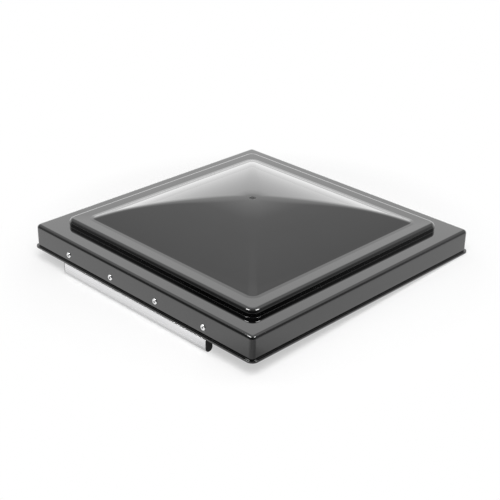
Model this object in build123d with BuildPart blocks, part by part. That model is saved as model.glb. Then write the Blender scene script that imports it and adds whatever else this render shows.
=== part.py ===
from build123d import *

import os
from math import cos, radians, sin

os.makedirs("parts", exist_ok=True)

# Roof vent lid with its hinge. X runs along the hinge, +Y towards the free edge, +Z up.
# The origin is under the middle of the lid, at the height of the hinge's lowest point.
# All lengths are in millimetres, all angles in degrees.

# Lid, seen from above: square, each step in from the last
lid_side = 406.4
bead_reach = 2.8
step_inset = 27.9
border_width = 23.9

# Lid, seen from the side
bead_height = 2.6
skirt_height = 32.4
frame_height = 10.2
dome_rise = 30.9
wall = 2.5

# Rounded corners and edges of the lid
skirt_corner = 6.0
frame_corner = 12.5
bead_chamfer = 0.9
shoulder_round = 4.0
frame_round = 6.0

# Gate mark in the middle of the dome
gate_radius = 4.3
gate_depth = 0.7
gate_nub_radius = 1.6
gate_nub_height = 0.6

# Gussets between the skirt and the shoulder, inside
gusset_width = 7.0
gusset_height = 8.0
gusset_thickness = 2.0
gusset_pitch = 58.0
gusset_count = 6

# Hinge leaf on the lid: one aluminium extrusion
hinge_length = 265.0
hinge_shift = -4.3
hinge_wall = 1.5
barrel_radius = 5.2
barrel_drop = 11.8
leaf_height = 20.0
leaf_round = 0.6
lip_angle = 17.0

# Hinge rail, the half that is fixed to the vent's curb
rail_clearance = 0.06
rail_wall = 1.6
neck_width = 2.0
neck_offset = 0.5
neck_rise = 8.5
rail_reach = 13.0
rail_height = 20.0
rail_round = 0.6
rail_screw_radius = 2.2
rail_screw_inset = 12.0
rail_screw_count = 4
rail_screw_drop = 6.0

# Plugs in the barrel's ends
plug_plate = 0.8
plug_length = 6.0
plug_clearance = 0.1
plug_gap = 0.5
plug_top_gap = 0.2
plug_slope = 4.0
plug_notch = 0.8

# Blind rivets through the skirt and the leaf
rivet_inset = 6.8
rivet_count = 4
rivet_rise = 12.4
rivet_radius = 2.0
rivet_clearance = 0.05
rivet_head_radius = 4.0
rivet_head_height = 1.3
rivet_head_edge = 0.4
rivet_head_top_radius = 2.4
rivet_bulb_radius = 2.9
rivet_bulb_length = 3.0
mandrel_radius = 1.1
mandrel_clearance = 0.05
mandrel_recess = 0.7
mandrel_head_radius = 1.9
mandrel_head_length = 1.4

# Foam seal under the shoulder, in four lengths
seal_width = 12.0
seal_thickness = 8.0
seal_gap = 0.4
seal_joint_gap = 0.3

# Lift track under the free edge, on two bosses
track_length = 172.0
track_width = 18.0
track_height = 10.0
track_wall = 1.2
track_lip = 3.2
track_bend = 1.0
track_inset = 14.5
boss_radius = 4.6
boss_height = 6.0
boss_pilot_radius = 1.6
track_screw_inset = 8.0
screw_clearance = 0.1
screw_head_radius = 3.4
screw_head_height = 2.2
screw_tip_gap = 0.8

# Overrun of the cutting shapes
overrun = 1.0

# Heights and half-widths that follow from the sizes above
rim_z = barrel_drop + barrel_radius
shoulder_z = rim_z + skirt_height
border_z = shoulder_z + frame_height
ceiling_z = shoulder_z - wall
border_under_z = border_z - wall
skirt_half = lid_side / 2 - bead_reach
skirt_inner = skirt_half - wall
frame_half = skirt_half - step_inset
frame_inner = frame_half - wall
dome_half = frame_half - border_width

# Hinge: the flat face is flush with the bead, and the barrel hangs from it
hinge_face_y = -lid_side / 2
axis_y = hinge_face_y + barrel_radius
axis_z = barrel_radius
barrel_bore = barrel_radius - hinge_wall
leaf_y = -skirt_inner
leaf_inner_y = leaf_y + hinge_wall
rail_face_y = axis_y + rail_reach
rail_web_z = axis_z + neck_rise - rail_wall
rail_length = hinge_length - 2 * (plug_length + plug_gap)
rail_screw_pitch = (rail_length - 2 * rail_screw_inset) / (rail_screw_count - 1)
rivet_z = rim_z + rivet_rise
rivet_pitch = (hinge_length - 2 * rivet_inset) / (rivet_count - 1)
rivet_axes = [hinge_shift + rivet_pitch * (index - (rivet_count - 1) / 2) for index in range(rivet_count)]

# Seal and track hang from the undersides of the shoulder and the border
seal_outer = skirt_inner - gusset_width - seal_gap
seal_inner = seal_outer - seal_width
track_y = frame_inner - track_inset
track_top_z = border_under_z - boss_height
track_screw_x = track_length / 2 - track_screw_inset
screw_radius = boss_pilot_radius - screw_clearance


def vault(upright):
    """A barrel vault over the border's opening, its arch drawn in an upright plane through the middle."""
    with BuildPart() as barrel_vault:
        with BuildSketch(upright):
            with BuildLine():
                ThreePointArc((-dome_half, border_z), (0, border_z + dome_rise), (dome_half, border_z))
                Line((dome_half, border_z), (-dome_half, border_z))
            make_face()
        extrude(amount=dome_half, both=True)
    return barrel_vault.part


def save(piece, name):
    """Label a finished piece and write it."""
    piece.label = name
    export_step(piece, f"parts/{name}.step")


# Dome: what two crossed barrel vaults share, a crown with four faces that meet on the diagonals
with BuildPart() as dome:
    add(vault(Plane.XZ))
    add(vault(Plane.YZ), mode=Mode.INTERSECT)

# Lid moulding, outside: rim bead, skirt and shoulder
with BuildPart() as lid_moulding:
    with BuildSketch(Plane.XY.offset(rim_z)):
        RectangleRounded(lid_side, lid_side, skirt_corner + bead_reach)
    extrude(amount=bead_height)
    bead_faces = lid_moulding.faces().filter_by(Axis.Z)
    chamfer(bead_faces.edges(), bead_chamfer)
    with BuildSketch(Plane.XY.offset(rim_z)):
        RectangleRounded(2 * skirt_half, 2 * skirt_half, skirt_corner)
    extrude(amount=skirt_height)
    fillet(lid_moulding.faces().sort_by(Axis.Z)[-1].edges(), shoulder_round)

    # Skirt cavity, with gussets in the corner between the skirt and the shoulder
    with BuildSketch(Plane.XY.offset(rim_z - overrun)):
        RectangleRounded(2 * skirt_inner, 2 * skirt_inner, skirt_corner - wall)
    extrude(amount=overrun + skirt_height - wall, mode=Mode.SUBTRACT)
    for side in range(4):
        angle = radians(90 * side)
        upright = Plane(origin=(0, 0, 0), x_dir=(cos(angle), sin(angle), 0), z_dir=(sin(angle), -cos(angle), 0))
        for index in range(gusset_count):
            along = gusset_pitch * (index - (gusset_count - 1) / 2)
            with BuildSketch(upright.offset(along)):
                with BuildLine():
                    Polyline(
                        (skirt_inner, ceiling_z),
                        (skirt_inner - gusset_width, ceiling_z),
                        (skirt_inner, ceiling_z - gusset_height),
                        close=True,
                    )
                make_face()
    extrude(amount=gusset_thickness / 2, both=True)

    # Raised frame, and the frame's cavity
    with BuildSketch(Plane.XY.offset(shoulder_z)):
        RectangleRounded(2 * frame_half, 2 * frame_half, frame_corner)
    extrude(amount=frame_height)
    fillet(lid_moulding.faces().sort_by(Axis.Z)[-1].edges(), frame_round)
    with BuildSketch(Plane.XY.offset(ceiling_z - overrun)):
        RectangleRounded(2 * frame_inner, 2 * frame_inner, frame_corner - wall)
    extrude(amount=overrun + frame_height, mode=Mode.SUBTRACT)
    chamfer(lid_moulding.edges(Select.LAST).group_by(Axis.Z)[-1], (frame_round - wall) / 2)

    # Bosses for the lift track
    with BuildSketch(Plane.XY.offset(track_top_z)):
        with Locations((-track_screw_x, track_y), (track_screw_x, track_y)):
            Circle(boss_radius)
    extrude(amount=boss_height)
    with BuildSketch(Plane.XY.offset(track_top_z)):
        with Locations((-track_screw_x, track_y), (track_screw_x, track_y)):
            Circle(boss_pilot_radius)
    extrude(amount=boss_height, mode=Mode.SUBTRACT)

    # Crowned dome of even thickness, with the gate mark in its middle
    add(dome.part)
    add(dome.part.moved(Location((0, 0, -wall))), mode=Mode.SUBTRACT)
    with BuildSketch(Plane.XY.offset(border_z + dome_rise - gate_depth)):
        Circle(gate_radius)
        Circle(gate_nub_radius, mode=Mode.SUBTRACT)
    extrude(amount=gate_depth + overrun, mode=Mode.SUBTRACT)
    with BuildSketch(Plane.XY.offset(border_z + dome_rise - gate_depth + gate_nub_height)):
        Circle(gate_nub_radius)
    extrude(amount=gate_depth + overrun, mode=Mode.SUBTRACT)

    # Rivet holes in the skirt over the hinge
    with BuildSketch(Plane.XZ.offset(skirt_half + overrun)):
        with Locations([(x, rivet_z) for x in rivet_axes]):
            Circle(rivet_radius + rivet_clearance)
    extrude(amount=-(wall + 2 * overrun), mode=Mode.SUBTRACT)
save(lid_moulding.part, "lid_moulding")

# Hinge leaf: a web under the rim joins the outer wall and barrel to the leaf inside the skirt
with BuildPart() as hinge_lid_leaf:
    with BuildSketch(Plane.YZ.offset(hinge_shift)) as leaf_section:
        with Locations((axis_y, axis_z)):
            Circle(barrel_radius)
        with Locations((hinge_face_y, axis_z)):
            Rectangle(hinge_wall, barrel_drop, align=Align.MIN)
        with Locations((axis_y, axis_z)):
            Circle(barrel_bore, mode=Mode.SUBTRACT)
        lip_run = (barrel_radius + overrun) * cos(radians(lip_angle))
        lip_rise = (barrel_radius + overrun) * sin(radians(lip_angle))
        with BuildLine():
            Polyline(
                (axis_y, axis_z),
                (axis_y + lip_run, axis_z + lip_rise),
                (axis_y + lip_run, axis_z + barrel_radius + overrun),
                (axis_y - barrel_bore, axis_z + barrel_radius + overrun),
                (axis_y - barrel_bore, axis_z),
                close=True,
            )
        make_face(mode=Mode.SUBTRACT)
        with Locations((axis_y, axis_z)):
            with PolarLocations(barrel_radius - hinge_wall / 2, 1, start_angle=lip_angle):
                Circle(hinge_wall / 2)
        with Locations((hinge_face_y, rim_z - hinge_wall)):
            Rectangle(leaf_inner_y - hinge_face_y, hinge_wall, align=Align.MIN)
        with Locations((leaf_y, rim_z - hinge_wall)):
            Rectangle(hinge_wall, hinge_wall + leaf_height, align=Align.MIN)
        outer_corner = leaf_section.vertices().sort_by_distance((hinge_face_y, rim_z))[0]
        fillet(outer_corner, leaf_round)
        fillet(leaf_section.vertices().group_by(Axis.Y)[-1], leaf_round)
    extrude(amount=hinge_length / 2, both=True)
    with BuildSketch(Plane.XZ.offset(skirt_inner + overrun)):
        with Locations([(x, rivet_z) for x in rivet_axes]):
            Circle(rivet_radius + rivet_clearance)
    extrude(amount=-(hinge_wall + 2 * overrun), mode=Mode.SUBTRACT)
save(hinge_lid_leaf.part, "hinge_lid_leaf")

# Hinge rail: a bead that turns in the barrel, a neck out of the barrel's slot, a web and a flange
with BuildPart() as hinge_base_rail:
    with BuildSketch(Plane.YZ.offset(hinge_shift)) as rail_section:
        neck_y = axis_y + neck_offset - neck_width
        with Locations((axis_y, axis_z)):
            Circle(barrel_bore - rail_clearance)
        with Locations((neck_y, axis_z)):
            Rectangle(neck_width, neck_rise, align=Align.MIN)
        with Locations((neck_y, rail_web_z)):
            Rectangle(rail_face_y - neck_y, rail_wall, align=Align.MIN)
        with Locations((rail_face_y - rail_wall, rail_web_z)):
            Rectangle(rail_wall, rail_height, align=Align.MIN)
        inner_corners = [
            (neck_y + neck_width, rail_web_z),
            (rail_face_y - rail_wall, rail_web_z + rail_wall),
            (neck_y, rail_web_z + rail_wall),
        ]
        for corner in inner_corners:
            fillet(rail_section.vertices().sort_by_distance(corner)[0], rail_round)
        fillet(rail_section.vertices().group_by(Axis.Y)[-1], rail_round)
    extrude(amount=rail_length / 2, both=True)
    rail_screw_z = rail_web_z + rail_height - rail_screw_drop
    with BuildSketch(Plane.XZ.offset(overrun - (rail_face_y - rail_wall))):
        with Locations((hinge_shift, rail_screw_z)):
            with GridLocations(rail_screw_pitch, 0, rail_screw_count, 1):
                Circle(rail_screw_radius)
    extrude(amount=-(rail_wall + 2 * overrun), mode=Mode.SUBTRACT)
save(hinge_base_rail.part, "hinge_base_rail")

# End plugs: a thin plate on each end of the hinge section and a spigot in the barrel's bore
for side, place in ((-1, "left"), (1, "right")):
    hinge_end = Plane.YZ.offset(hinge_shift + side * hinge_length / 2)
    with BuildPart() as hinge_end_plug:
        with BuildSketch(hinge_end):
            with Locations((axis_y, axis_z)):
                Circle(barrel_radius)
            with BuildLine():
                Polyline(
                    (hinge_face_y, axis_z),
                    (hinge_face_y, rim_z - plug_top_gap),
                    (leaf_inner_y, rim_z - plug_top_gap),
                    (leaf_inner_y, rim_z - plug_slope),
                    (axis_y + barrel_radius, axis_z + barrel_radius / 2),
                    (axis_y + barrel_radius, axis_z),
                    close=True,
                )
            make_face()
            with Locations((axis_y, axis_z)):
                with PolarLocations(barrel_radius, 1, start_angle=lip_angle):
                    Rectangle(2 * hinge_wall, plug_notch, mode=Mode.SUBTRACT)
        extrude(amount=side * plug_plate)
        with BuildSketch(hinge_end):
            with Locations((axis_y, axis_z)):
                Circle(barrel_bore - plug_clearance)
        extrude(amount=-side * plug_length)
    save(hinge_end_plug.part, f"hinge_end_plug_{place}")

# Blind rivets: each body is turned about its axis, from the low cone of its head to the bulb behind the leaf
head_y = -skirt_half
head_top_y = head_y - rivet_head_height
bulb_y = leaf_inner_y
tail_y = bulb_y + rivet_bulb_length
rivet_bore = mandrel_radius + mandrel_clearance
for index, x in enumerate(rivet_axes):
    rivet_plane = Plane(origin=(x, 0, rivet_z), x_dir=(1, 0, 0), z_dir=(0, 0, 1))
    rivet_axis = Axis((x, 0, rivet_z), (0, 1, 0))
    with BuildPart() as rivet_body:
        with BuildSketch(rivet_plane):
            with BuildLine():
                Polyline(
                    (rivet_bore, head_top_y),
                    (rivet_bore, tail_y),
                    (rivet_bulb_radius, tail_y),
                    (rivet_bulb_radius, bulb_y),
                    (rivet_radius, bulb_y),
                    (rivet_radius, head_y),
                    (rivet_head_radius, head_y),
                    (rivet_head_radius, head_y - rivet_head_edge),
                    (rivet_head_top_radius, head_top_y),
                    close=True,
                )
            make_face()
        revolve(axis=rivet_axis)
    save(rivet_body.part, f"rivet_body_{index + 1}")
    with BuildPart() as rivet_mandrel:
        with BuildSketch(rivet_plane):
            with BuildLine():
                Polyline(
                    (0, head_top_y + mandrel_recess),
                    (mandrel_radius, head_top_y + mandrel_recess),
                    (mandrel_radius, tail_y),
                    (mandrel_head_radius, tail_y),
                    (mandrel_head_radius, tail_y + mandrel_head_length),
                    (0, tail_y + mandrel_head_length),
                    close=True,
                )
            make_face()
        revolve(axis=rivet_axis)
    save(rivet_mandrel.part, f"rivet_mandrel_{index + 1}")

# Foam seal: two full lengths front and back, two short lengths between them
seal_z = ceiling_z - seal_thickness
seal_middle = (seal_outer + seal_inner) / 2
seal_short = 2 * (seal_inner - seal_joint_gap)
seal_lengths = (
    ("front", (0, seal_middle), (2 * seal_outer, seal_width)),
    ("back", (0, -seal_middle), (2 * seal_outer, seal_width)),
    ("left", (-seal_middle, 0), (seal_width, seal_short)),
    ("right", (seal_middle, 0), (seal_width, seal_short)),
)
for place, centre, sides in seal_lengths:
    with BuildPart() as seal:
        with BuildSketch(Plane.XY.offset(seal_z)):
            with Locations(centre):
                Rectangle(*sides)
        extrude(amount=seal_thickness)
    save(seal.part, f"seal_{place}")

# Lift track: a lipped channel, open below, for the slider on the crank's arm
with BuildPart() as lift_track:
    with BuildSketch(Plane.YZ):
        with Locations((track_y, track_top_z - track_height / 2)):
            RectangleRounded(track_width, track_height, track_bend + track_wall)
            inner_width = track_width - 2 * track_wall
            RectangleRounded(inner_width, track_height - 2 * track_wall, track_bend, mode=Mode.SUBTRACT)
        with Locations((track_y, track_top_z - track_height)):
            Rectangle(inner_width - 2 * track_lip, 2 * track_wall, mode=Mode.SUBTRACT)
    extrude(amount=track_length / 2, both=True)
    with BuildSketch(Plane.XY.offset(track_top_z)):
        with Locations((-track_screw_x, track_y), (track_screw_x, track_y)):
            Circle(screw_radius + screw_clearance)
    extrude(amount=-(track_wall + overrun), mode=Mode.SUBTRACT)
save(lift_track.part, "lift_track")

# Track screws: pan heads inside the channel, shanks in the bosses
screw_seat_z = track_top_z - track_wall
for index, x in enumerate((-track_screw_x, track_screw_x)):
    with BuildPart() as track_screw:
        with BuildSketch(Plane.XY.offset(screw_seat_z)):
            with Locations((x, track_y)):
                Circle(screw_head_radius)
        extrude(amount=-screw_head_height)
        with BuildSketch(Plane.XY.offset(screw_seat_z)):
            with Locations((x, track_y)):
                Circle(screw_radius)
        extrude(amount=track_wall + boss_height - screw_tip_gap)
    save(track_screw.part, f"track_screw_{index + 1}")
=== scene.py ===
from math import atan2, cos, pi, radians, sin

import bmesh
import bpy
from mathutils import Matrix, Vector


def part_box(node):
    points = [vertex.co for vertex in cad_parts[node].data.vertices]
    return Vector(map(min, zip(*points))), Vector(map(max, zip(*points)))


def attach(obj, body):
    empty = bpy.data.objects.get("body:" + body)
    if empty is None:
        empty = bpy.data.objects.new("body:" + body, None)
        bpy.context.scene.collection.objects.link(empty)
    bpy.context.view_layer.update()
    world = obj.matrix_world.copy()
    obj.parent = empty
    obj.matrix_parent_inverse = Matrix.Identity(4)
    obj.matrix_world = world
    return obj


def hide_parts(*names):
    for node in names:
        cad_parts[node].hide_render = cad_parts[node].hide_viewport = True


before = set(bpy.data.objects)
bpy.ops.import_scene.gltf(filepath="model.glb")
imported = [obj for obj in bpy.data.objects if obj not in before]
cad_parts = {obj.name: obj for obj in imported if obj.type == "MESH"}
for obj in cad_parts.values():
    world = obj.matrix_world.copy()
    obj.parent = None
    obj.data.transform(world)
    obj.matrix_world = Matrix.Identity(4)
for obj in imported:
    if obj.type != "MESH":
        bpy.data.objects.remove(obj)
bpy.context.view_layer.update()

# Sizes of the object are in millimetres and multiplied by this where a mesh or an object is made
MM = 0.001

# Lid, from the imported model: its side, its rim and its crown
lid_low, lid_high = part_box("lid_moulding")
lid_half = (lid_high[0] - lid_low[0]) / 2 / MM
rim_z = lid_low[2] / MM
crown_z = lid_high[2] / MM

# Lid, the steps seen from above
bead_reach = 2.8
step_inset = 27.9
border_width = 23.9

# Lid, heights
bead_height = 2.6
skirt_height = 32.4
frame_height = 10.2
wall = 2.5

# Lid, rounded corners and edges
skirt_corner = 6.0
frame_corner = 12.5
rim_edge = 0.2
bead_round = 0.6
ledge_round = 0.2
shoulder_round = 4.4
foot_round = 0.35
frame_round = 6.0
crease_round = 0.9
ceiling_round = 1.5

# Border: it sinks a little towards the dome and rises again over a narrow ramp
border_dish = 0.25
ramp_width = 5.0

# Dome: fuller than a parabola, with ridges whose corners tighten towards the edge
dome_fullness_share = 0.177
ridge_share = 0.058
ridge_power = 3.34

# Gate mark
gate_radius = 4.3
gate_depth = 0.7
gate_nub_radius = 1.6
gate_nub_height = 0.6
gate_edge = 0.15
gate_centre = 0.4

# Gussets and track bosses, inside
gusset_width = 7.0
gusset_height = 8.0
gusset_thickness = 2.0
gusset_pitch = 58.0
gusset_count = 6
gusset_root = 0.5
gusset_round = 0.3
gusset_round_steps = 3
boss_radius = 4.6
boss_height = 6.0
boss_pilot_radius = 1.6
boss_edge = 0.4

# Blind rivets
rivet_radius = 2.0
rivet_bore = 1.15
rivet_head_radius = 4.0
rivet_head_height = 1.3
rivet_head_power = 5
rivet_head_steps = 8
rivet_edge = 0.25
rivet_rim = 0.2
rivet_bulb_radius = 2.9
rivet_bulb_length = 3.0
rivet_bulb_steps = 6

# Foam strips
seal_edge = 1.5
seal_bulge = 0.5
seal_round_steps = 12
seal_steps = 24

# Points round a lid ring: on each corner's arc and on each straight side
corner_points = 12
side_points = 28

# Points round a turned body, and the distance under which points are one
turned_points = 48
weld_distance = 0.0001

# Where the rings lie on the lid's flats and walls, as shares of the way across
skirt_ring_shares = (0.05, 0.35, 0.7, 0.95, 1.0)
shoulder_ring_shares = (0.03, 0.3, 0.7, 0.97, 1.0)
border_ring_shares = (0.04, 0.35, 0.7, 0.96, 1.0)
ramp_ring_shares = (0.1, 0.5, 0.9)
inner_ring_shares = (0.05, 0.5, 1.0)

# Where the rings lie on the dome, as shares of its half-width, and the circles round its middle
dome_ring_step_share = 0.02
dome_ring_count = 45
dome_last_shares = (0.085, 0.07)
inner_dome_steps = 24
crown_radii = (8.5, 7.0, 5.6)
inner_crown_radius = 1.0

# A face whose slope is under this is one of the lid's flats
flat_slope = 0.08

# Derived lid sizes
skirt_half = lid_half - bead_reach
skirt_inner = skirt_half - wall
frame_half = skirt_half - step_inset
frame_inner = frame_half - wall
frame_edge = frame_half - frame_round
dome_half = frame_half - border_width
bead_centre = skirt_half - skirt_corner
frame_centre = frame_half - frame_corner
crease_corner = dome_half * ridge_share
shoulder_z = rim_z + skirt_height
border_z = shoulder_z + frame_height
border_under_z = border_z - wall
ceiling_z = shoulder_z - wall
dome_rise = crown_z - border_z


def ring(half, corner, z):
    """Points of a level rounded square, counter-clockwise from above, the same number for any size."""
    points = []
    straight = half - corner
    turns = ((1, 1), (-1, 1), (-1, -1), (1, -1))
    for index, (sx, sy) in enumerate(turns):
        start = index * pi / 2
        for step in range(corner_points + 1):
            angle = start + pi / 2 * step / corner_points
            points.append((sx * straight + corner * cos(angle), sy * straight + corner * sin(angle), z))
        nx, ny = turns[(index + 1) % 4]
        from_point = points[-1]
        to_angle = start + pi / 2
        to_point = (nx * straight + corner * cos(to_angle), ny * straight + corner * sin(to_angle), z)
        for step in range(1, side_points):
            share = step / side_points
            points.append(tuple(a + (b - a) * share for a, b in zip(from_point, to_point)))
    return points


def straight_rings(first, last, shares):
    """Rings at shares of the way between two rings, each given as half-width, corner radius and height."""
    return [tuple(a + (b - a) * share for a, b in zip(first, last)) for share in shares]


def quarter(first, last, corner_centre, upright_first, steps=6):
    """Rings of a quarter round between two places (half-width, height), without the first place."""
    half_from, z_from = first
    half_to, z_to = last
    rings = []
    for step in range(1, steps + 1):
        angle = pi / 2 * step / steps
        early = sin(angle)
        late = 1 - cos(angle)
        half = half_from + (half_to - half_from) * (late if upright_first else early)
        z = z_from + (z_to - z_from) * (early if upright_first else late)
        rings.append((half, half - corner_centre, z))
    return rings


def dome_ring(share, drop):
    """Half-width, corner radius and height of the dome's outline at a share of the way to its edge."""
    half = dome_half * share
    corner = half * (ridge_share + (1 - ridge_share) * (1 - share) ** ridge_power)
    fall = (1 - dome_fullness_share) * share**2 + dome_fullness_share * share**4
    return half, corner, border_z - drop + dome_rise * (1 - fall)


def bead_rings():
    """Rings of the rim's lower face and of the bead round it."""
    inner = skirt_inner + rim_edge
    flat = lid_half - bead_round
    bead_top = rim_z + bead_height
    rings = [(inner, inner - bead_centre, rim_z), (flat, flat - bead_centre, rim_z)]
    rings += quarter((flat, rim_z), (lid_half, rim_z + bead_round), bead_centre, False)
    rings += [(lid_half, lid_half - bead_centre, bead_top - bead_round)]
    rings += quarter((lid_half, bead_top - bead_round), (flat, bead_top), bead_centre, True)
    ledge = skirt_half + ledge_round
    rings += [(ledge, ledge - bead_centre, bead_top)]
    rings += [(skirt_half, skirt_corner, bead_top + ledge_round)]
    return rings


def skirt_rings():
    """Rings of the upright skirt and of the flat shoulder."""
    ledge_z = rim_z + bead_height + ledge_round
    top_z = shoulder_z - shoulder_round
    inner = skirt_half - shoulder_round
    foot = frame_half + foot_round
    lowest = (skirt_half, skirt_corner, ledge_z)
    highest = (skirt_half, skirt_corner, top_z)
    rings = straight_rings(lowest, highest, skirt_ring_shares)
    rings += quarter((skirt_half, top_z), (inner, shoulder_z), bead_centre, True, steps=8)
    first = (inner, inner - bead_centre, shoulder_z)
    last = (foot, foot - frame_centre, shoulder_z)
    rings += straight_rings(first, last, shoulder_ring_shares)
    return rings


def frame_rings():
    """Rings of the raised frame, its flat border and the ramp up to the dome's crease."""
    foot = frame_half + foot_round
    ramp = dome_half + ramp_width
    crease = dome_half + crease_round / 2
    round_z = border_z - frame_round
    rings = quarter((foot, shoulder_z), (frame_half, shoulder_z + foot_round), frame_centre, False)
    rings += [(frame_half, frame_corner, round_z)]
    rings += quarter((frame_half, round_z), (frame_edge, border_z), frame_centre, True, steps=10)
    first = (frame_edge, frame_edge - frame_centre, border_z)
    lowest = (ramp, crease_corner + ramp_width, border_z - border_dish)
    last = (crease, crease_corner + crease_round / 2, border_z)
    rings += straight_rings(first, lowest, border_ring_shares)
    rings += straight_rings(lowest, last, ramp_ring_shares)
    rings += [last]
    return rings


def dome_rings():
    """Rings of the dome's outside, from its crease up to the circles round its middle."""
    shares = [1 - crease_round / dome_half / 2]
    shares += [1 - dome_ring_step_share * step for step in range(1, dome_ring_count + 1)]
    shares += dome_last_shares
    return [dome_ring(share, 0) for share in shares]


def crown_circles(drop):
    """Circles round the dome's middle, where its outline turns from a square to a circle."""
    radii = (*crown_radii, gate_radius + gate_edge)
    return [(radius, radius, dome_ring(radius / dome_half, drop)[2]) for radius in radii]


def gate_circles():
    """Circles of the gate mark, a shallow ring with a nub in its middle."""
    floor_z = crown_z - gate_depth
    nub_z = floor_z + gate_nub_height
    places = (
        (gate_radius, crown_z - gate_edge),
        (gate_radius - gate_edge, floor_z + gate_edge),
        (gate_radius - 3 * gate_edge, floor_z),
        (gate_nub_radius + 2 * gate_edge, floor_z),
        (gate_nub_radius, floor_z + gate_edge),
        (gate_nub_radius - gate_edge, nub_z - gate_edge),
        (gate_nub_radius - 2 * gate_edge, nub_z),
        (gate_centre, nub_z),
    )
    return [(radius, radius, z) for radius, z in places]


def inner_rings():
    """Rings of the inside, from the crown down to the rim."""
    rings = [(inner_crown_radius, inner_crown_radius, crown_z - wall)]
    rings += reversed(crown_circles(wall))
    start = dome_last_shares[-1]
    for step in range(inner_dome_steps + 1):
        rings.append(dome_ring(start + (1 - start) * step / inner_dome_steps, wall))
    first = (dome_half, crease_corner, border_under_z)
    last = (frame_edge, frame_edge - frame_centre, border_under_z)
    rings += straight_rings(first, last, inner_ring_shares)
    frame_foot = (frame_inner, border_z - frame_round)
    rings += quarter((frame_edge, border_under_z), frame_foot, frame_centre, False)
    inner = skirt_inner - ceiling_round
    first = (frame_inner, frame_inner - frame_centre, ceiling_z)
    last = (inner, inner - bead_centre, ceiling_z)
    rings += [first]
    rings += straight_rings(first, last, inner_ring_shares)
    skirt_top = (skirt_inner, ceiling_z - ceiling_round)
    rings += quarter((inner, ceiling_z), skirt_top, bead_centre, False, steps=4)
    rings += [(skirt_inner, skirt_inner - bead_centre, rim_z + rim_edge)]
    return rings


def object_from(bm, name, body, material):
    """Turn a bmesh in millimetres into a piece of the scene that rides a body."""
    bmesh.ops.remove_doubles(bm, verts=bm.verts, dist=weld_distance)
    bmesh.ops.recalc_face_normals(bm, faces=bm.faces)
    bmesh.ops.scale(bm, vec=(MM, MM, MM), verts=bm.verts)
    mesh = bpy.data.meshes.new(name)
    bm.to_mesh(mesh)
    bm.free()
    piece = bpy.data.objects.new(name, mesh)
    bpy.context.scene.collection.objects.link(piece)
    for polygon in mesh.polygons:
        polygon.use_smooth = True
    mesh.materials.append(material)
    piece.modifiers.new("even_normals", "WEIGHTED_NORMAL")
    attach(piece, body)
    return piece


def joined(bm, first, second, finish=0):
    """Faces between two closed loops that have as many points."""
    faces = []
    for index in range(len(first)):
        after = (index + 1) % len(first)
        face = bm.faces.new((first[index], first[after], second[after], second[index]))
        face.material_index = finish
        faces.append(face)
    return faces


def turned(bm, profile, centre, axis):
    """A body turned about an axis: the closed profile is a list of (radius, distance along the axis)."""
    axis = Vector(axis)
    side = axis.orthogonal().normalized()
    across = axis.cross(side)
    angles = [2 * pi * step / turned_points for step in range(turned_points)]
    loops = []
    for radius, distance in profile:
        middle = Vector(centre) + axis * distance
        loops.append([bm.verts.new(middle + (side * cos(a) + across * sin(a)) * radius) for a in angles])
    for first, second in zip(loops, loops[1:]):
        joined(bm, first, second)


def add_gusset(bm, out, middle, along):
    """One thin gusset: a triangle from the shoulder's underside to the skirt, with its slope rounded."""
    outer = skirt_inner + gusset_root
    inner = skirt_inner - gusset_width
    profile = (
        (outer, ceiling_z + gusset_root),
        (inner, ceiling_z + gusset_root),
        (inner, ceiling_z),
        (skirt_inner, ceiling_z - gusset_height),
        (outer, ceiling_z - gusset_height),
    )
    ends = []
    for place in (-gusset_thickness / 2, gusset_thickness / 2):
        points = [out * reach + middle + along * place + Vector((0, 0, z)) for reach, z in profile]
        ends.append([bm.verts.new(point) for point in points])
    for end in ends:
        bm.faces.new(end)
    slope = list(joined(bm, ends[0], ends[1])[2].edges)
    bmesh.ops.bevel(
        bm, geom=slope, offset=gusset_round, segments=gusset_round_steps, affect="EDGES", profile=0.5
    )


def add_gussets(bm):
    """The gussets in the corner under the shoulder, on each of the moulding's four sides."""
    for side in range(4):
        angle = pi / 2 * side
        out = Vector((cos(angle), sin(angle), 0))
        along = Vector((-sin(angle), cos(angle), 0))
        for index in range(gusset_count):
            middle = along * gusset_pitch * (index - (gusset_count - 1) / 2)
            add_gusset(bm, out, middle, along)


def add_bosses(bm):
    """The two bosses under the border that carry the lift track, with their pilot holes."""
    outer = boss_radius + boss_edge
    profile = (
        (boss_pilot_radius, 0),
        (boss_pilot_radius, -boss_height + boss_edge),
        (boss_pilot_radius + boss_edge, -boss_height),
        (boss_radius - boss_edge, -boss_height),
        (boss_radius, -boss_height + boss_edge),
        (boss_radius, -boss_edge),
        (outer, 0),
        (outer, gusset_root),
        (boss_pilot_radius, gusset_root),
        (boss_pilot_radius, 0),
    )
    for index in (1, 2):
        low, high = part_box("track_screw_%d" % index)
        centre = ((low[0] + high[0]) / 2 / MM, (low[1] + high[1]) / 2 / MM, border_under_z)
        turned(bm, profile, centre, (0, 0, 1))


def finish_of(lower, upper):
    """Material slot of the faces between two rings: 0 gloss, 1 shoulder, 2 gate mark or 3 border."""
    inner = min(lower[0], upper[0])
    outer = max(lower[0], upper[0])
    if outer <= gate_radius + gate_edge:
        return 2
    flat = abs(lower[2] - upper[2]) < flat_slope * (outer - inner)
    if not flat or inner <= dome_half or outer >= skirt_half:
        return 0
    return 3 if lower[2] > (shoulder_z + border_z) / 2 else 1


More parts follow.
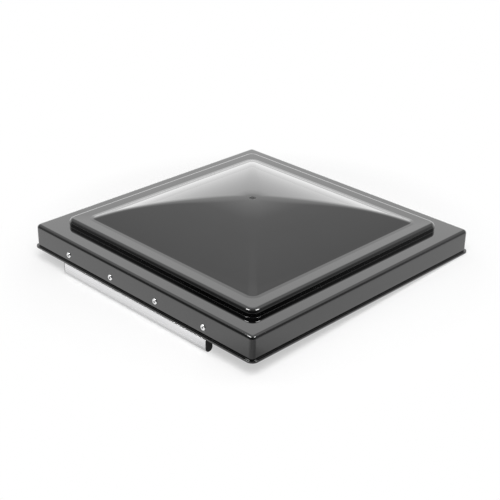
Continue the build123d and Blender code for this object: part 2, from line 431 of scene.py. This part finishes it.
def lid_shell(material, *others):
    """The lid moulding as one closed shell with true rounds, its gussets and its bosses."""
    bm = bmesh.new()
    outline = bead_rings() + skirt_rings() + frame_rings()
    outline += dome_rings() + crown_circles(0) + gate_circles()
    outer_loops = [[bm.verts.new(point) for point in ring(*place)] for place in outline]
    inner_loops = [[bm.verts.new(point) for point in ring(*place)] for place in inner_rings()]
    for first, second, lower, upper in zip(outer_loops, outer_loops[1:], outline, outline[1:]):
        joined(bm, first, second, finish_of(lower, upper))
    for first, second in zip(inner_loops, inner_loops[1:]):
        joined(bm, first, second)
    joined(bm, inner_loops[-1], outer_loops[0])
    bm.faces.new(outer_loops[-1])
    bm.faces.new(inner_loops[0])
    add_gussets(bm)
    add_bosses(bm)
    piece = object_from(bm, "lid_shell", "lid", material)
    for other in others:
        piece.data.materials.append(other)
    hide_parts("lid_moulding")


def rivet(index, material):
    """A blind rivet, turned: low domed head, shank and the bulb behind the leaf."""
    low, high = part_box("rivet_body_%d" % index)
    centre = ((low[0] + high[0]) / 2 / MM, -skirt_half, (low[2] + high[2]) / 2 / MM)
    tail = -high[1] / MM - skirt_half
    bulb = tail + rivet_bulb_length
    dome_radius = rivet_bore + rivet_rim
    profile = [(rivet_bore, tail), (rivet_bore, rivet_head_height - rivet_rim)]
    for step in range(rivet_head_steps + 1):
        share = step / rivet_head_steps
        radius = dome_radius + (rivet_head_radius - dome_radius) * share
        rise = (rivet_head_height - rivet_edge) * (1 - share**rivet_head_power)
        profile.append((radius, rivet_edge + rise))
    profile += [(rivet_head_radius, 0), (rivet_radius, 0), (rivet_radius, bulb + rivet_rim)]
    for step in range(rivet_bulb_steps + 1):
        share = step / rivet_bulb_steps
        swell = rivet_radius + (rivet_bulb_radius - rivet_radius) * sin(pi * share)
        profile.append((swell, bulb - rivet_bulb_length * share))
    profile.append((rivet_bore, tail))
    bm = bmesh.new()
    turned(bm, profile, centre, (0, -1, 0))
    piece = object_from(bm, "rivet_%d" % index, "lid", material)
    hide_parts("rivet_body_%d" % index)


def seal_section(half_width, low_z, high_z):
    """Outline across a foam strip: soft lower edges, and a lower face that bulges a little."""
    section = []
    for step in range(seal_round_steps + 1):
        angle = pi + pi * step / seal_round_steps
        reach = half_width * cos(angle)
        z = seal_edge * sin(angle) + seal_bulge * sin(angle)
        section.append((reach, z))
    lowest = min(z for _, z in section)
    section = [(reach, z - lowest + low_z) for reach, z in section]
    return section + [(half_width, high_z), (-half_width, high_z)]


def seal_strip(place, material):
    """A length of foam strip, drawn along its longer side."""
    low, high = [Vector(corner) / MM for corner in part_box("seal_" + place)]
    middle = (low + high) / 2
    size = high - low
    lengthwise = 0 if size[0] > size[1] else 1
    across = 1 - lengthwise
    section = seal_section(size[across] / 2, low[2], high[2])
    bm = bmesh.new()
    loops = []
    for step in range(seal_steps + 1):
        loop = []
        for reach, z in section:
            point = [0, 0, z]
            point[lengthwise] = low[lengthwise] + size[lengthwise] * step / seal_steps
            point[across] = middle[across] + reach
            loop.append(bm.verts.new(point))
        loops.append(loop)
    for first, second in zip(loops, loops[1:]):
        joined(bm, first, second)
    bm.faces.new(loops[0])
    bm.faces.new(loops[-1])
    piece = object_from(bm, "foam_strip_" + place, "lid", material)
    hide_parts("seal_" + place)


# Textures: the middle range of a noise that is spread over a finish's roughness and colours
rough_span = (0.3, 0.7)
colour_span = (0.35, 0.65)


def wire(tree, value, socket):
    """Give a socket a number, or link an output to it."""
    if isinstance(value, (int, float)):
        socket.default_value = value
    else:
        tree.links.new(value, socket)


def calculate(tree, operation, *values):
    """A Math node; each value is a number or an output."""
    node = tree.nodes.new("ShaderNodeMath")
    node.operation = operation
    for socket, value in zip(node.inputs, values):
        wire(tree, value, socket)
    return node.outputs["Value"]


def spread(tree, source, span, levels, smooth=False):
    """Spread a span of a value over two levels, each a number or an output, and hold the ends."""
    node = tree.nodes.new("ShaderNodeMapRange")
    if smooth:
        node.interpolation_type = "SMOOTHSTEP"
    names = ("Value", "From Min", "From Max", "To Min", "To Max")
    for name, value in zip(names, (source, *span, *levels)):
        wire(tree, value, node.inputs[name])
    return node.outputs["Result"]


def noise(tree, scale, detail, stretch=(1.0, 1.0, 1.0)):
    """A noise texture in object coordinates; returns its factor output."""
    mapping = tree.nodes.new("ShaderNodeMapping")
    mapping.inputs["Scale"].default_value = stretch
    texture = tree.nodes.new("ShaderNodeTexNoise")
    texture.inputs["Scale"].default_value = scale
    texture.inputs["Detail"].default_value = detail
    place = tree.nodes.new("ShaderNodeTexCoord")
    tree.links.new(place.outputs["Object"], mapping.inputs["Vector"])
    tree.links.new(mapping.outputs["Vector"], texture.inputs["Vector"])
    return texture.outputs["Fac"]


def colour_ramp(tree, source, stops):
    """A ramp of colours over a factor between 0 and 1, from a list of (place, colour)."""
    ramp = tree.nodes.new("ShaderNodeValToRGB")
    elements = ramp.color_ramp.elements
    elements.remove(elements[-1])
    for index, (place, colour) in enumerate(stops):
        element = elements[0] if index == 0 else elements.new(place)
        element.position = place
        element.color = (*colour, 1)
    tree.links.new(source, ramp.inputs["Fac"])
    return ramp.outputs["Color"]


def new_material(name):
    """A node material; returns it with its node tree and its Principled shader."""
    material = bpy.data.materials.new(name)
    material.use_nodes = True
    return material, material.node_tree, material.node_tree.nodes["Principled BSDF"]


def paint(tree, shader, texture, colours, rough):
    """Vary a shader's base colour and roughness with a texture."""
    tree.links.new(colour_ramp(tree, texture, zip(colour_span, colours)), shader.inputs["Base Color"])
    tree.links.new(spread(tree, texture, rough_span, rough), shader.inputs["Roughness"])


def bump(tree, shader, texture, strength, distance):
    """Raise the surface by a texture."""
    raised = tree.nodes.new("ShaderNodeBump")
    raised.inputs["Strength"].default_value = strength
    raised.inputs["Distance"].default_value = distance
    tree.links.new(texture, raised.inputs["Height"])
    tree.links.new(raised.outputs["Normal"], shader.inputs["Normal"])


def black_plastic(name, coat_ior, grain_scale, grain_depth=0.00003, coat_rough=0.03, rough=(0.03, 0.06)):
    """Jet black moulded plastic, whose clear skin reflects the studio."""
    material, tree, shader = new_material(name)
    cloud = noise(tree, scale=18.0, detail=3.0)
    paint(tree, shader, cloud, ((0.0016, 0.0016, 0.0017), (0.0028, 0.0028, 0.003)), rough)
    shader.inputs["IOR"].default_value = 1.5
    shader.inputs["Coat Weight"].default_value = 1.0
    shader.inputs["Coat Roughness"].default_value = coat_rough
    shader.inputs["Coat IOR"].default_value = coat_ior
    bump(tree, shader, noise(tree, grain_scale, detail=2.0), strength=0.05, distance=grain_depth)
    return material


def extruded_aluminium(name, dark, light):
    """Mill finish aluminium with fine lines along the extrusion."""
    material, tree, shader = new_material(name)
    lines = noise(tree, scale=60.0, detail=4.0, stretch=(0.06, 12.0, 12.0))
    paint(tree, shader, lines, (dark, light), rough=(0.22, 0.34))
    shader.inputs["Metallic"].default_value = 1.0
    bump(tree, shader, lines, strength=0.1, distance=0.00005)
    return material


def mottled_metal(name, dark, light, rough, scale):
    """Formed or plated metal with a fine mottle."""
    material, tree, shader = new_material(name)
    mottle = noise(tree, scale, detail=5.0)
    paint(tree, shader, mottle, (dark, light), rough)
    shader.inputs["Metallic"].default_value = 1.0
    bump(tree, shader, mottle, strength=0.1, distance=0.00003)
    return material


def grained_plastic():
    """Black moulded plastic with a fine grain, for the hinge's end plugs."""
    material, tree, shader = new_material("plug_grained_plastic")
    grain = noise(tree, scale=2200.0, detail=3.0)
    paint(tree, shader, grain, ((0.004, 0.004, 0.0042), (0.009, 0.009, 0.0095)), rough=(0.42, 0.6))
    bump(tree, shader, grain, strength=0.25, distance=0.0001)
    return material


def foam():
    """Matte black closed cell foam."""
    material, tree, shader = new_material("seal_closed_cell_foam")
    cells = noise(tree, scale=900.0, detail=6.0)
    colours = ((0.018, 0.018, 0.019), (0.045, 0.045, 0.047))
    tree.links.new(colour_ramp(tree, cells, zip(colour_span, colours)), shader.inputs["Base Color"])
    shader.inputs["Roughness"].default_value = 0.92
    bump(tree, shader, cells, strength=0.8, distance=0.0004)
    return material


def dress(node, material):
    """Give a CAD node one material."""
    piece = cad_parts[node]
    piece.data.materials.clear()
    piece.data.materials.append(material)


# Lid: the flats shine more than the dome and walls, a choice for the look, and the gate mark is matte
lid_gloss = black_plastic("lid_gloss_plastic", coat_ior=1.5, grain_scale=260.0)
lid_shoulder = black_plastic("lid_shoulder_plastic", coat_ior=2.35, grain_scale=700.0)
lid_border = black_plastic("lid_border_plastic", coat_ior=2.6, grain_scale=700.0)
lid_gate = black_plastic(
    "lid_gate_plastic", coat_ior=1.5, grain_scale=2500.0,
    grain_depth=0.0001, coat_rough=0.5, rough=(0.5, 0.65),
)
lid_shell(lid_gloss, lid_shoulder, lid_gate, lid_border)

# Hinge: the leaf on the lid, the rail on the curb and the plugs in the barrel's ends
leaf_metal = extruded_aluminium("hinge_extruded_aluminium", (0.86, 0.86, 0.87), (0.95, 0.95, 0.96))
rail_metal = extruded_aluminium("rail_extruded_aluminium", (0.72, 0.72, 0.73), (0.84, 0.84, 0.85))
dress("hinge_lid_leaf", leaf_metal)
dress("hinge_base_rail", rail_metal)
plug_plastic = grained_plastic()
for side in ("left", "right"):
    dress("hinge_end_plug_" + side, plug_plastic)

# Foam seal, in four lengths
seal_foam = foam()
for side in ("front", "back", "left", "right"):
    seal_strip(side, seal_foam)

# Rivets, each with the pin left in it
rivet_metal = mottled_metal(
    "rivet_formed_aluminium", (0.93, 0.93, 0.94), (0.99, 0.99, 0.99), rough=(0.16, 0.26), scale=400.0
)
# Rivet pins: steel whose colour is made near black, a painted shade for the dark centre of each rivet
mandrel_metal = mottled_metal(
    "mandrel_steel_painted_shade", (0.02, 0.02, 0.02), (0.06, 0.06, 0.06), rough=(0.5, 0.7), scale=900.0
)
for index in range(1, 5):
    rivet(index, rivet_metal)
    dress("rivet_mandrel_%d" % index, mandrel_metal)

# Lift track and its screws
track_zinc = mottled_metal(
    "track_zinc_plate", (0.5, 0.5, 0.5), (0.68, 0.68, 0.67), rough=(0.25, 0.45), scale=120.0
)
screw_zinc = mottled_metal(
    "screw_zinc_plate", (0.55, 0.55, 0.55), (0.7, 0.7, 0.68), rough=(0.2, 0.4), scale=600.0
)
dress("lift_track", track_zinc)
for index in (1, 2):
    dress("track_screw_%d" % index, screw_zinc)

# Camera, as fitted to the lid's straight edges: place in millimetres, then heading, height angle and roll
camera_place = (939.3, -956.2, rim_z + 665.3)
camera_heading = radians(44.59)
camera_elevation = radians(26.45)
camera_roll = radians(0.92)
camera_sensor = 36.0
camera_lens = 81.51
camera_reach = 50.0

# Level directions as the camera sees them
behind = (-sin(camera_heading), cos(camera_heading), 0)
sideways = (cos(camera_heading), sin(camera_heading), 0)

# Hinge barrel, in millimetres: the lid lies on it at one side and on its rim at the other, so the floor slopes
barrel_radius = 5.2

# Floor, in metres
floor_size = 9.0
floor_gap = 0.00002

# Floor as the object's matte surfaces see it
floor_base = 0.92
floor_rough = 0.9

# Floor as the camera sees it: lit white and an even lift, turning plain white over this span of metres
floor_white = 0.4
floor_lift = 0.52
floor_pale_span = (0.28, 0.36)

# Floor as gloss mirrors it, a glow whose changes are painted light and shade: its level in front, at the
# right, a painted shadow at the near corner, painted light behind, painted shade far out in front, and a
# painted shadow that dims it close to the hinge side but not under the lid; the spans are metres
floor_glow_share = 0.85
floor_glow_front = 0.88
floor_glow_right = 0.86
floor_glow_right_span = (0.0, 0.1)
floor_glow_corner = 0.45
floor_glow_corner_span = (0.02, 0.1)
floor_glow_behind = 1.2
floor_glow_behind_span = (0.0, 0.4)
floor_glow_far = 0.35
floor_glow_far_span = (0.29, 0.42)
floor_glow_contact = 0.6
floor_glow_contact_span = (-0.225, -0.2)
floor_glow_under_span = (-0.19, -0.15)

# World: brightness by the height angle, behind the object and at its sides
world_peak = 1.6
world_diffuse_share = 0.8
behind_by_height = (
    (0, 1.2), (18.5, 1.2), (20.3, 1.05), (21.7, 0.8), (25, 0.76), (28.5, 0.69), (34, 0.58), (40, 0.64),
    (48, 0.75), (58, 0.88), (67, 0.93), (78, 0.78), (90, 0.53),
)
side_by_height = (
    (0, 0.25), (8, 0.22), (16, 0.17), (25, 0.14), (34, 0.17), (41, 0.3), (50, 0.45), (60, 0.5), (90, 0.53),
)

# World: the share of each by how far a direction points behind the object
behind_by_facing = ((-1.0, 0.0), (0.02, 0.0), (0.15, 0.25), (0.3, 0.85), (0.45, 1.0), (1.0, 1.0))
side_by_facing = ((-1.0, 0.1), (-0.8, 0.2), (-0.45, 0.55), (0.0, 1.0), (0.25, 0.8), (0.5, 0.0))

# World: the sides are brighter to the camera's right, and dimmer where they are mirrored twice or more, so
# where the ray's depth is over this
side_lean = 0.3
side_twice_share = 0.15
twice_depth = 2.5

# Lamps, in metres: two strips seen in gloss, each between two directions from the near corner, and the key
near_corner = Vector((lid_half, -lid_half, shoulder_z)) * MM
strip_distance = 1.3
strip_height = 0.27
strip_radiance = 16.0
left_strip_ends = ((-0.618, -0.395, 0.68), (-0.09, -0.49, 0.865))
right_strip_ends = ((0.395, 0.618, 0.68), (0.49, 0.09, 0.865))
key_place = (0.86, -0.87, 2.3)
key_size = 1.9
key_radiance = 6.0


def along_direction(tree, source, direction):
    """How far a vector goes along a direction."""
    node = tree.nodes.new("ShaderNodeVectorMath")
    node.operation = "DOT_PRODUCT"
    node.inputs[1].default_value = direction
    tree.links.new(source, node.inputs[0])
    return node.outputs["Value"]


def split_axes(tree, source):
    """The three parts of a vector."""
    node = tree.nodes.new("ShaderNodeSeparateXYZ")
    tree.links.new(source, node.inputs["Vector"])
    return node.outputs


def glow(tree, strength):
    """White light of a strength, a number or an output."""
    node = tree.nodes.new("ShaderNodeEmission")
    wire(tree, strength, node.inputs["Strength"])
    return node.outputs["Emission"]


def mixed(tree, share, first, second):
    """Two shaders mixed by the second one's share."""
    node = tree.nodes.new("ShaderNodeMixShader")
    for socket, output in zip(node.inputs, (share, first, second)):
        tree.links.new(output, socket)
    return node.outputs["Shader"]


def floor_seen(tree, place):
    """The floor as the camera sees it: soft shadows near the lid, and plain white further out."""
    lit = tree.nodes.new("ShaderNodeBsdfDiffuse")
    lit.inputs["Color"].default_value = (floor_white, floor_white, floor_white, 1)
    lifted = tree.nodes.new("ShaderNodeAddShader")
    tree.links.new(lit.outputs["BSDF"], lifted.inputs[0])
    tree.links.new(glow(tree, floor_lift), lifted.inputs[1])
    distance = tree.nodes.new("ShaderNodeVectorMath")
    distance.operation = "LENGTH"
    tree.links.new(place, distance.inputs[0])
    paleness = spread(tree, distance.outputs["Value"], floor_pale_span, (0.0, 1.0), smooth=True)
    return mixed(tree, paleness, lifted.outputs["Shader"], glow(tree, 1.0))


def floor_glow_strength(tree, place):
    """How bright the floor is in gloss, by the place that is mirrored: painted light and shade, with painted
    shadows in front of the near corner and close to the hinge side.
    """
    rightwards = along_direction(tree, place, sideways)
    aside = calculate(tree, "ABSOLUTE", rightwards)
    # Painted shadow: the glow is dimmed in front of the near corner
    corner = spread(tree, aside, floor_glow_corner_span, (floor_glow_corner, floor_glow_front), smooth=True)
    right = spread(tree, rightwards, floor_glow_right_span, (1.0, floor_glow_right), smooth=True)
    front = calculate(tree, "MULTIPLY", corner, right)
    away = along_direction(tree, place, behind)
    # Painted light: the glow is brighter behind the object
    strength = spread(tree, away, floor_glow_behind_span, (front, floor_glow_behind), smooth=True)
    axes = split_axes(tree, place)
    hingewards = calculate(tree, "MULTIPLY", axes["Y"], -1.0)
    reach = calculate(tree, "MAXIMUM", hingewards, axes["X"])
    # Painted shade: the glow is dimmer far out in front
    far = spread(tree, reach, floor_glow_far_span, (1.0, floor_glow_far), smooth=True)
    # Painted shadow: the glow is dimmed close to the hinge side, but not under the lid
    contact = spread(tree, axes["Y"], floor_glow_contact_span, (1.0, floor_glow_contact), smooth=True)
    under = spread(tree, axes["Y"], floor_glow_under_span, (0.0, 1.0))
    contact = calculate(tree, "MAXIMUM", contact, under)
    return calculate(tree, "MULTIPLY", calculate(tree, "MULTIPLY", strength, far), contact)


def floor_finish():
    """White floor: plain under the lamps, with a look of its own for the camera and one for gloss, which holds
    painted light and shade.
    """
    material, tree, shader = new_material("studio_floor_white")
    shader.inputs["Base Color"].default_value = (floor_base, floor_base, floor_base, 1)
    shader.inputs["Roughness"].default_value = floor_rough
    shader.inputs["Specular IOR Level"].default_value = 0.0
    place = tree.nodes.new("ShaderNodeTexCoord").outputs["Object"]
    path = tree.nodes.new("ShaderNodeLightPath")
    plain = mixed(tree, path.outputs["Is Camera Ray"], shader.outputs["BSDF"], floor_seen(tree, place))
    share = calculate(tree, "MULTIPLY", path.outputs["Is Glossy Ray"], floor_glow_share)
    finish = mixed(tree, share, plain, glow(tree, floor_glow_strength(tree, place)))
    tree.links.new(finish, tree.nodes["Material Output"].inputs["Surface"])
    return material


def studio_floor():
    """The sloping floor, which touches the barrel's lowest line and the far side's rim."""
    axis_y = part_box("hinge_lid_leaf")[0][1] / MM + barrel_radius
    tilt = atan2(rim_z, lid_half - axis_y)
    corners = []
    for x, y in ((-1, -1), (1, -1), (1, 1), (-1, 1)):
        along = y * floor_size / 2
        corners.append((x * floor_size / 2, axis_y * MM + along * cos(tilt), along * sin(tilt) - floor_gap))
    mesh = bpy.data.meshes.new("studio_floor")
    mesh.from_pydata(corners, [], [(0, 1, 2, 3)])
    mesh.materials.append(floor_finish())
    floor = bpy.data.objects.new("studio_floor", mesh)
    bpy.context.scene.collection.objects.link(floor)


def height_ramp(tree, height, levels):
    """Brightness over the sine of the height angle, as a share of the world's peak."""
    stops = [(sin(radians(angle)), (level / world_peak,) * 3) for angle, level in levels]
    return colour_ramp(tree, height, stops)


def facing_ramp(tree, facing, shares):
    """A share over how far a direction points behind the object, where -1 to 1 is spread over 0 to 1."""
    stops = [((place + 1) / 2, (share,) * 3) for place, share in shares]
    return colour_ramp(tree, facing, stops)


def studio_world():
    """A light tent: bright behind the object, dim beside it, dark towards the camera, white where seen."""
    world = bpy.data.worlds.new("studio")
    bpy.context.scene.world = world
    world.use_nodes = True
    tree = world.node_tree
    direction = tree.nodes.new("ShaderNodeTexCoord").outputs["Generated"]
    height = calculate(tree, "MAXIMUM", split_axes(tree, direction)["Z"], 0.0)
    facing = calculate(tree, "MULTIPLY_ADD", along_direction(tree, direction, behind), 0.5, 0.5)
    leaning = calculate(tree, "MULTIPLY_ADD", along_direction(tree, direction, sideways), side_lean, 1.0)
    behind_level = height_ramp(tree, height, behind_by_height)
    behind_share = facing_ramp(tree, facing, behind_by_facing)
    from_behind = calculate(tree, "MULTIPLY", behind_level, behind_share)
    side_level = height_ramp(tree, height, side_by_height)
    side_share = facing_ramp(tree, facing, side_by_facing)
    from_side = calculate(tree, "MULTIPLY", side_level, side_share)
    from_side = calculate(tree, "MULTIPLY", from_side, leaning)
    path = tree.nodes.new("ShaderNodeLightPath").outputs
    twice = calculate(tree, "GREATER_THAN", path["Ray Depth"], twice_depth)
    twice_dimmed = calculate(tree, "MULTIPLY_ADD", twice, side_twice_share - 1, 1.0)
    from_side = calculate(tree, "MULTIPLY", from_side, twice_dimmed)
    total = calculate(tree, "MULTIPLY", calculate(tree, "ADD", from_behind, from_side), world_peak)
    diffuse_dimmed = calculate(tree, "MULTIPLY_ADD", path["Is Diffuse Ray"], world_diffuse_share - 1, 1.0)
    level = calculate(tree, "MULTIPLY", total, diffuse_dimmed)
    seen = tree.nodes.new("ShaderNodeMix")
    seen.data_type = "RGBA"
    seen.inputs["B"].default_value = (1, 1, 1, 1)
    tree.links.new(path["Is Camera Ray"], seen.inputs["Factor"])
    tree.links.new(level, seen.inputs["A"])
    tree.links.new(seen.outputs["Result"], tree.nodes["Background"].inputs["Color"])


def area_lamp(name, radiance, width, height):
    """A flat lamp of a size in metres, which shines along its own -Z axis."""
    data = bpy.data.lights.new(name, "AREA")
    data.shape = "RECTANGLE"
    data.size = width
    data.size_y = height
    data.energy = radiance * pi * width * height
    lamp = bpy.data.objects.new(name, data)
    bpy.context.scene.collection.objects.link(lamp)
    return lamp


def glint_strip(name, ends):
    """A strip of light between two directions from the near corner, which lights no matte surface."""
    first, last = [Vector(end).normalized() for end in ends]
    out = (first + last).normalized()
    along = (last - first).normalized()
    turn = Matrix((along, out.cross(along), out)).transposed().to_4x4()
    lamp = area_lamp(name, strip_radiance, strip_distance * (last - first).length, strip_height)
    lamp.matrix_world = Matrix.Translation(near_corner + out * strip_distance) @ turn
    lamp.visible_diffuse = False


def key_softbox():
    """The key lamp, a big softbox on the camera's side, aimed at the object and not mirrored in gloss."""
    lamp = area_lamp("key_softbox", key_radiance, key_size, key_size)
    lamp.location = key_place
    lamp.rotation_euler = (-Vector(key_place)).to_track_quat("-Z", "Y").to_euler()
    lamp.visible_glossy = False


def photo_camera():
    """The camera at the photo's place and angle."""
    level_back = Vector((sin(camera_heading), -cos(camera_heading), 0))
    back = level_back * cos(camera_elevation) + Vector((0, 0, sin(camera_elevation)))
    level_right = Vector(sideways)
    level_up = back.cross(level_right)
    right = level_right * cos(camera_roll) + level_up * sin(camera_roll)
    up = level_up * cos(camera_roll) - level_right * sin(camera_roll)
    data = bpy.data.cameras.new("camera")
    data.sensor_width = camera_sensor
    data.lens = camera_lens
    data.clip_end = camera_reach
    camera = bpy.data.objects.new("camera", data)
    turn = Matrix((right, up, back)).transposed().to_4x4()
    camera.matrix_world = Matrix.Translation(Vector(camera_place) * MM) @ turn
    bpy.context.scene.collection.objects.link(camera)
    bpy.context.scene.camera = camera


studio_floor()
studio_world()
glint_strip("left_strip", left_strip_ends)
glint_strip("right_strip", right_strip_ends)
key_softbox()
photo_camera()
bpy.context.scene.view_settings.view_transform = "Standard"
